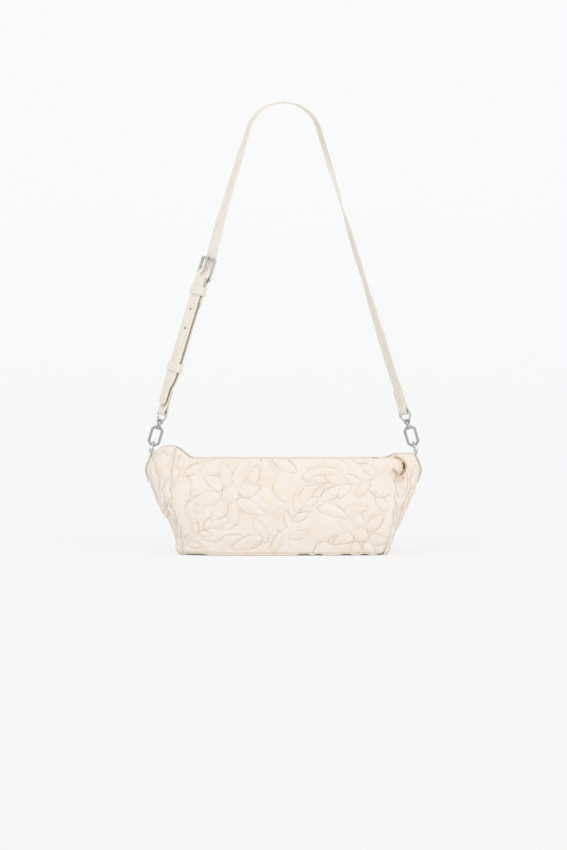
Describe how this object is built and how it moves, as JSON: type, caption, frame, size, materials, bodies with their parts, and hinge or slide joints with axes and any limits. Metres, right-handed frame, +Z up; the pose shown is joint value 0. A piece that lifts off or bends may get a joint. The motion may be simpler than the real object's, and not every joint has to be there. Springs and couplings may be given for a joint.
{
  "type": "baguette bag",
  "caption": "Soft zip-top baguette bag with quilted walls, pinched ends and a buckled shoulder strap on two gate clips.",
  "frame": {"origin": "middle of the base, on the surface the bag stands on", "axes": "+Z up, +X along the bag's length to the right as seen from the front, +Y to the back"},
  "size_m": [0.3078, 0.0866, 0.4946],
  "materials": {
    "quilted_cloth": "padded cloth with raised outline quilting",
    "tab_cloth": "matt cream",
    "board": "stiff board",
    "lining_cloth": "plain weave",
    "facing_cloth": "plain weave",
    "zip_tape": "woven tape",
    "zip_metal": "satin",
    "strap_leather": "smooth, matt",
    "silver_metal": "polished"
  },
  "bodies": {
    "bag": {"front_panel": "quilted_cloth", "back_panel": "quilted_cloth", "left_gusset": "quilted_cloth", "right_gusset": "quilted_cloth", "base_panel": "quilted_cloth", "base_board": "board", "lining": "lining_cloth", "lining_floor": "lining_cloth", "inner_pocket": "lining_cloth", "front_facing": "facing_cloth", "back_facing": "facing_cloth", "front_zip_tape": "zip_tape", "back_zip_tape": "zip_tape", "front_zip_teeth": "zip_metal", "back_zip_teeth": "zip_metal", "zip_end_stop": "zip_metal", "left_zip_tab": "facing_cloth", "right_zip_tab": "facing_cloth", "left_ring_tab": "tab_cloth", "right_ring_tab": "tab_cloth"},
    "zip_slider": {"zip_slider": "zip_metal"},
    "zip_pull": {"zip_pull": "zip_metal"},
    "left_bag_ring": {"left_bag_ring": "silver_metal"},
    "right_bag_ring": {"right_bag_ring": "silver_metal"},
    "strap": {"strap_long": "strap_leather", "strap_short": "strap_leather", "buckle_frame": "silver_metal", "fixed_keeper": "strap_leather", "left_strap_ring": "silver_metal", "right_strap_ring": "silver_metal", "left_swivel_eye": "silver_metal", "right_swivel_eye": "silver_metal"},
    "buckle_prong": {"buckle_prong": "silver_metal"},
    "sliding_keeper": {"sliding_keeper": "strap_leather"},
    "left_clip": {"left_clip_body": "silver_metal", "left_gate_pin": "silver_metal"},
    "right_clip": {"right_clip_body": "silver_metal", "right_gate_pin": "silver_metal"},
    "left_clip_gate": {"left_clip_gate": "silver_metal"},
    "right_clip_gate": {"right_clip_gate": "silver_metal"}
  },
  "joints": [
    {"name": "zip_travel", "type": "slide", "parent": "bag", "child": "zip_slider", "axis": [-1, 0, 0], "range_m": [0, 0.1986], "deforming": ["front_zip_tape", "back_zip_tape", "front_zip_teeth", "back_zip_teeth"]},
    {"name": "zip_pull_swing", "type": "hinge", "parent": "zip_slider", "child": "zip_pull", "pos_m": [0.101, 0, 0.1022], "axis": [0, 1, 0], "range_deg": [0, 120]},
    {"name": "left_ring_tilt", "type": "hinge", "parent": "bag", "child": "left_bag_ring", "pos_m": [-0.14547, 0, 0.1122], "axis": [0, 1, 0], "range_deg": [-4, 4]},
    {"name": "right_ring_tilt", "type": "hinge", "parent": "bag", "child": "right_bag_ring", "pos_m": [0.14547, 0, 0.1122], "axis": [0, 1, 0], "range_deg": [-4, 4]},
    {"name": "strap_swing", "type": "hinge", "parent": "bag", "child": "strap", "pos_m": [0, 0, 0.1122], "axis": [1, 0, 0], "range_deg": [-40, 40]},
    {"name": "left_clip_swivel", "type": "hinge", "parent": "strap", "child": "left_clip", "pos_m": [-0.13735, 0, 0.13889], "axis": [0.2909, 0, 0.9567], "range_deg": [-15, 15]},
    {"name": "right_clip_swivel", "type": "hinge", "parent": "strap", "child": "right_clip", "pos_m": [0.13735, 0, 0.13889], "axis": [-0.2909, 0, 0.9567], "range_deg": [-15, 15]},
    {"name": "left_gate_swing", "type": "hinge", "parent": "left_clip", "child": "left_clip_gate", "pos_m": [-0.13418, 0, 0.13009], "axis": [0, 1, 0], "range_deg": [0, 30], "stiffness_Nm_per_rad": 0.01, "springref_deg": -17.19},
    {"name": "right_gate_swing", "type": "hinge", "parent": "right_clip", "child": "right_clip_gate", "pos_m": [0.13418, 0, 0.13009], "axis": [0, -1, 0], "range_deg": [0, 30], "stiffness_Nm_per_rad": 0.01, "springref_deg": -17.19},
    {"name": "buckle_prong_lift", "type": "hinge", "parent": "strap", "child": "buckle_prong", "pos_m": [-0.08839, 0, 0.29991], "axis": [0.7329, -0.6428, -0.2229], "range_deg": [0, 7]},
    {"name": "keeper_slide", "type": "slide", "parent": "strap", "child": "sliding_keeper", "axis": [0.2909, 0, 0.9567], "range_m": [-0.007, 0.055]}
  ]
}
